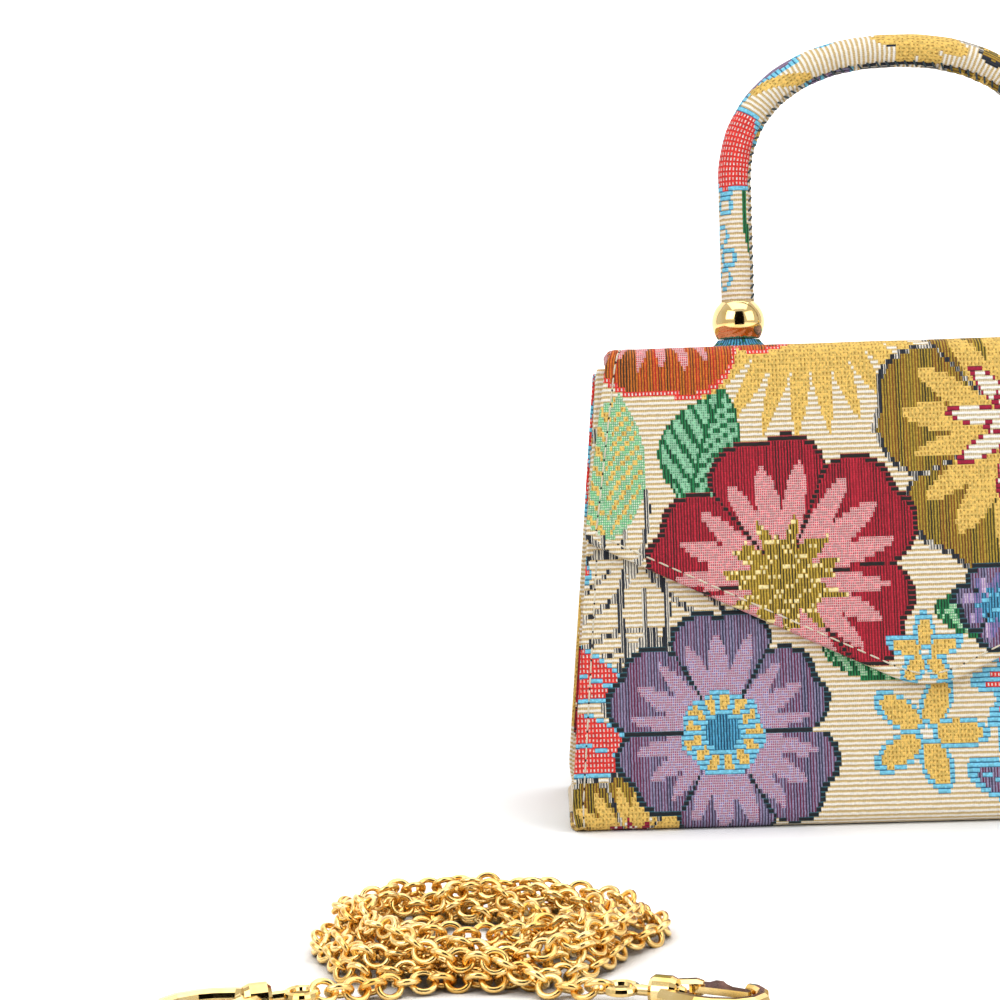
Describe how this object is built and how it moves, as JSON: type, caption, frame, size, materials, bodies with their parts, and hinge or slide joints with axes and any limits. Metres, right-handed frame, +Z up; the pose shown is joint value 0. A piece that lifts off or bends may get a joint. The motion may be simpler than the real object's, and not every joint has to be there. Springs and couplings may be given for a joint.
{
  "type": "crossbody bag",
  "caption": "Small structured flap bag in floral tapestry with a top handle on ball ferrules and a detached chain strap lying in a heap beside it.",
  "frame": {"origin": "middle of the bag's underside, on the surface it stands on", "axes": "+X across the bag to its right as seen from the front, -Y out of its front, +Z up"},
  "size_m": [0.2924, 0.2431, 0.2308],
  "materials": {
    "tapestry": "jacquard tapestry cloth, matt, a floral design in many colours",
    "lining_cloth": "plain woven lining",
    "greyboard": "grey stiffening board",
    "cord_core": "twisted cord",
    "pale_gold": "polished pale gold plating",
    "chain_gold": "bright gold plating",
    "snap_brass": "satin brass plating",
    "steel": "plain zinc-plated steel"
  },
  "bodies": {
    "bag": {"body_wrap": "tapestry", "left_gusset": "tapestry", "right_gusset": "tapestry", "lining": "lining_cloth", "front_board": "greyboard", "base_board": "greyboard", "back_board": "greyboard", "snap_socket": "snap_brass", "snap_socket_washer": "steel", "ring_tab_left": "tapestry", "ring_tab_right": "tapestry", "chain_heap": "chain_gold", "chain_tail_a": "chain_gold", "chain_tail_b": "chain_gold", "clasp_swivel_a": "pale_gold", "clasp_swivel_b": "pale_gold"},
    "flap": {"flap_cover": "tapestry", "flap_lining": "lining_cloth", "top_board": "greyboard", "flap_board": "greyboard", "snap_stud": "snap_brass", "snap_stud_washer": "steel", "handle_cover": "tapestry", "handle_core": "cord_core", "ferrule_left": "pale_gold", "ferrule_right": "pale_gold", "handle_screw_left": "steel", "handle_screw_right": "steel", "handle_washer_left": "steel", "handle_washer_right": "steel"},
    "ring_left": {"d_ring_left": "pale_gold"},
    "ring_right": {"d_ring_right": "pale_gold"},
    "hook_a": {"clasp_body_a": "pale_gold"},
    "hook_b": {"clasp_body_b": "pale_gold"},
    "lever_a": {"clasp_gate_a": "pale_gold"},
    "lever_b": {"clasp_gate_b": "pale_gold"}
  },
  "joints": [
    {"name": "flap_hinge", "type": "hinge", "parent": "bag", "child": "flap", "pos_m": [0, 0.01855, 0.1365], "axis": [-1, 0, 0], "range_deg": [0, 150]},
    {"name": "ring_left_swing", "type": "hinge", "parent": "bag", "child": "ring_left", "pos_m": [-0.0795, 0, 0.121], "axis": [0, 1, 0], "range_deg": [-4, 115]},
    {"name": "ring_right_swing", "type": "hinge", "parent": "bag", "child": "ring_right", "pos_m": [0.0795, 0, 0.121], "axis": [0, -1, 0], "range_deg": [-4, 115]},
    {"name": "hook_a_swivel", "type": "hinge", "parent": "bag", "child": "hook_a", "pos_m": [-0.166, -0.193, 0.0034], "axis": [-0.9511, -0.309, 0], "continuous": true},
    {"name": "hook_b_swivel", "type": "hinge", "parent": "bag", "child": "hook_b", "pos_m": [-0.09, -0.195, 0.0034], "axis": [0.9397, -0.342, 0], "continuous": true},
    {"name": "lever_a_turn", "type": "hinge", "parent": "hook_a", "child": "lever_a", "pos_m": [-0.17222, -0.20007, 0.0034], "axis": [0, 0, -1], "range_deg": [0, 18], "stiffness_Nm_per_rad": 0.01, "springref_deg": -11.46},
    {"name": "lever_b_turn", "type": "hinge", "parent": "hook_b", "child": "lever_b", "pos_m": [-0.08075, -0.19326, 0.0034], "axis": [0, 0, -1], "range_deg": [0, 18], "stiffness_Nm_per_rad": 0.01, "springref_deg": -11.46}
  ]
}
